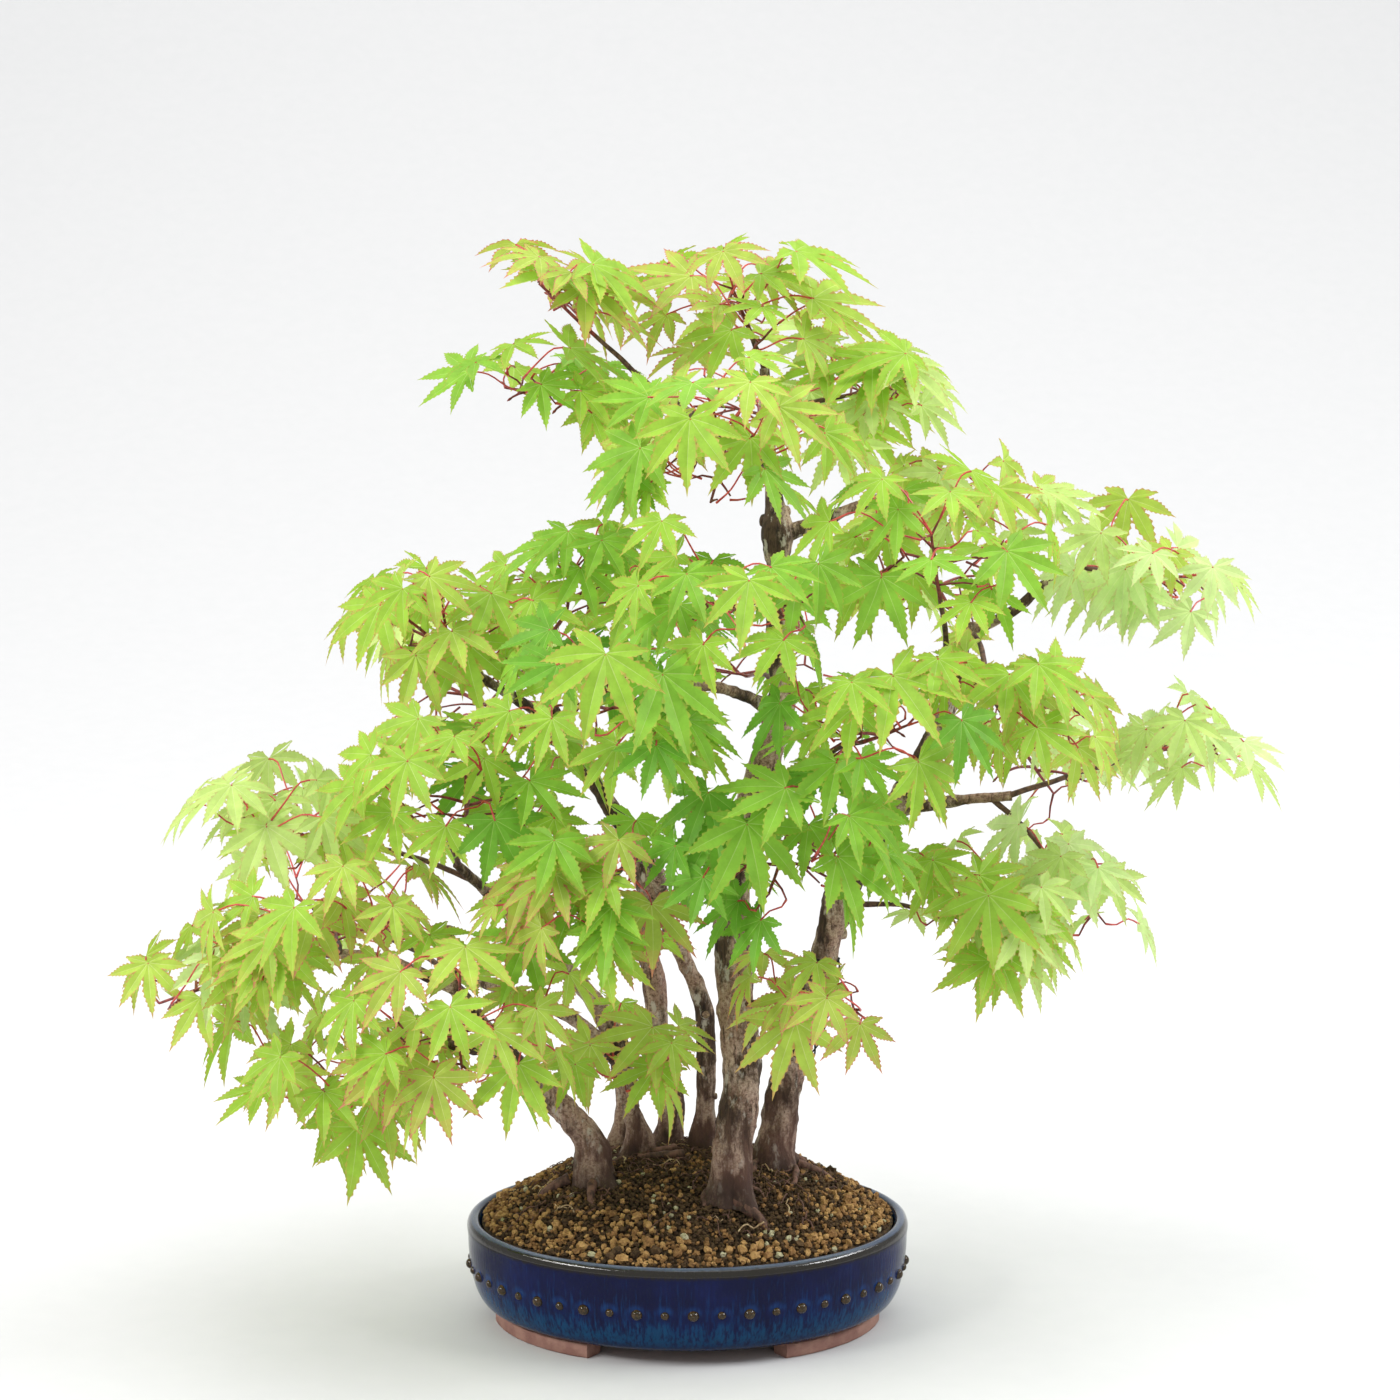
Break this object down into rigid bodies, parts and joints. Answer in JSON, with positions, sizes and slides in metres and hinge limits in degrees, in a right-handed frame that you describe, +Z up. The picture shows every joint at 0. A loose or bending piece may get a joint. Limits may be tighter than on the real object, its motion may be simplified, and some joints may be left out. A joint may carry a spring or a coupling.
{
  "type": "japanese maple bonsai in a pot",
  "caption": "Japanese maple bonsai grown as a clump of slender stems with open layers of fresh green leaves, in a shallow oval blue glazed pot.",
  "frame": {"origin": "middle of the pot's footprint, on the table that its feet stand on", "axes": "+Z up, +X to the right along the pot's length, +Y to the back; the tree's front faces -Y"},
  "size_m": [0.5602, 0.3292, 0.5256],
  "materials": {
    "blue_glaze": "glossy, streaked",
    "fired_clay": "matt, unglazed",
    "grit_soil": "coarse grains",
    "bark": "rough bark",
    "maple_foliage": "soft satin leaf"
  },
  "bodies": {
    "root": {"bough_centre_left": "bark", "bough_centre_right": "bark", "bough_crown_left": "bark", "bough_crown_right": "bark", "bough_fork_lower": "bark", "bough_fork_upper": "bark", "bough_left_back": "bark", "bough_left_high": "bark", "bough_low_far": "bark", "bough_low_front": "bark", "bough_right_back": "bark", "bough_right_front": "bark", "bough_right_low": "bark", "bough_right_tip": "bark", "leaves_centre_back": "maple_foliage", "leaves_centre_high": "maple_foliage", "leaves_centre_left": "maple_foliage", "leaves_centre_low": "maple_foliage", "leaves_centre_right": "maple_foliage", "leaves_crown_back": "maple_foliage", "leaves_crown_front": "maple_foliage", "leaves_crown_left": "maple_foliage", "leaves_crown_left_low": "maple_foliage", "leaves_crown_right": "maple_foliage", "leaves_crown_top": "maple_foliage", "leaves_front_small": "maple_foliage", "leaves_front_spray": "maple_foliage", "leaves_left_back": "maple_foliage", "leaves_left_far": "maple_foliage", "leaves_left_front": "maple_foliage", "leaves_left_high": "maple_foliage", "leaves_left_inner": "maple_foliage", "leaves_left_mid": "maple_foliage", "leaves_low_back": "maple_foliage", "leaves_low_far": "maple_foliage", "leaves_low_front": "maple_foliage", "leaves_low_hanging": "maple_foliage", "leaves_low_mid": "maple_foliage", "leaves_right_back": "maple_foliage", "leaves_right_far": "maple_foliage", "leaves_right_hanging": "maple_foliage", "leaves_right_low": "maple_foliage", "leaves_right_mid": "maple_foliage", "leaves_right_tip": "maple_foliage", "leaves_shoulder_back": "maple_foliage", "leaves_shoulder_front": "maple_foliage", "leaves_shoulder_right": "maple_foliage", "pot": "blue_glaze", "pot_foot_back_left": "fired_clay", "pot_foot_back_right": "fired_clay", "pot_foot_front_left": "fired_clay", "pot_foot_front_right": "fired_clay", "root_stump": "bark", "soil": "grit_soil", "trunk_forked": "bark", "trunk_low": "bark", "trunk_main": "bark", "trunk_middle": "bark", "trunk_right": "bark", "trunk_slim": "bark"}
  },
  "joints": []
}
